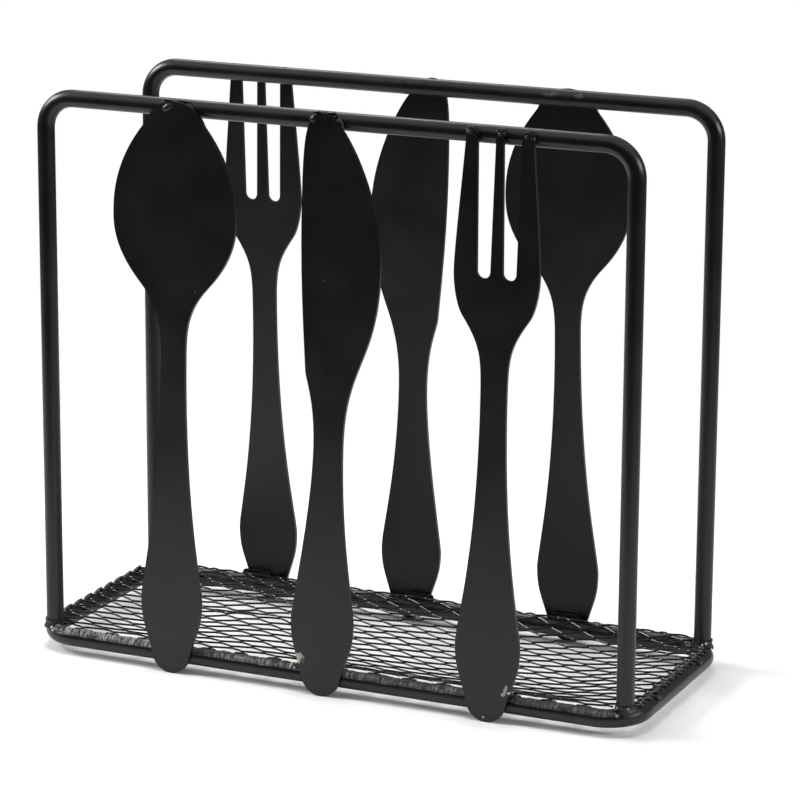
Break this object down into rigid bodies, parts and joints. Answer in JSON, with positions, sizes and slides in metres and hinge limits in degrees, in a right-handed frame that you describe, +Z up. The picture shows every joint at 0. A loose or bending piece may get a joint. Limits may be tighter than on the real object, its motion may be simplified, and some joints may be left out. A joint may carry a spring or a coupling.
{
  "type": "napkin holder",
  "caption": "Open upright napkin holder: inverted-U rod frames on a rod ring, cutlery-shaped plates front and back, expanded-mesh floor; napkins stand between.",
  "frame": {"origin": "on the table, under the middle of the holder", "axes": "+X along the holder's width, to the right seen from the front; -Y towards the front; +Z up"},
  "size_m": [0.1694, 0.0692, 0.1489],
  "materials": {
    "rod_coating": "satin black powder coat on round rod",
    "plate_coating": "satin black powder coat on cut sheet",
    "mesh_coating": "satin black powder coat on expanded mesh",
    "weld_coating": "coated weld bead, rougher than the rod"
  },
  "bodies": {
    "root": {"base_ring": "rod_coating", "front_frame": "rod_coating", "rear_frame": "rod_coating", "base_mesh": "mesh_coating", "front_spoon": "plate_coating", "front_knife": "plate_coating", "front_fork": "plate_coating", "rear_spoon": "plate_coating", "rear_knife": "plate_coating", "rear_fork": "plate_coating", "front_foot_welds": "weld_coating", "rear_foot_welds": "weld_coating", "front_spoon_welds": "weld_coating", "front_knife_welds": "weld_coating", "front_fork_welds": "weld_coating", "rear_spoon_welds": "weld_coating", "rear_knife_welds": "weld_coating", "rear_fork_welds": "weld_coating", "mesh_tack_welds": "weld_coating", "ring_seam_weld": "weld_coating"}
  },
  "joints": []
}
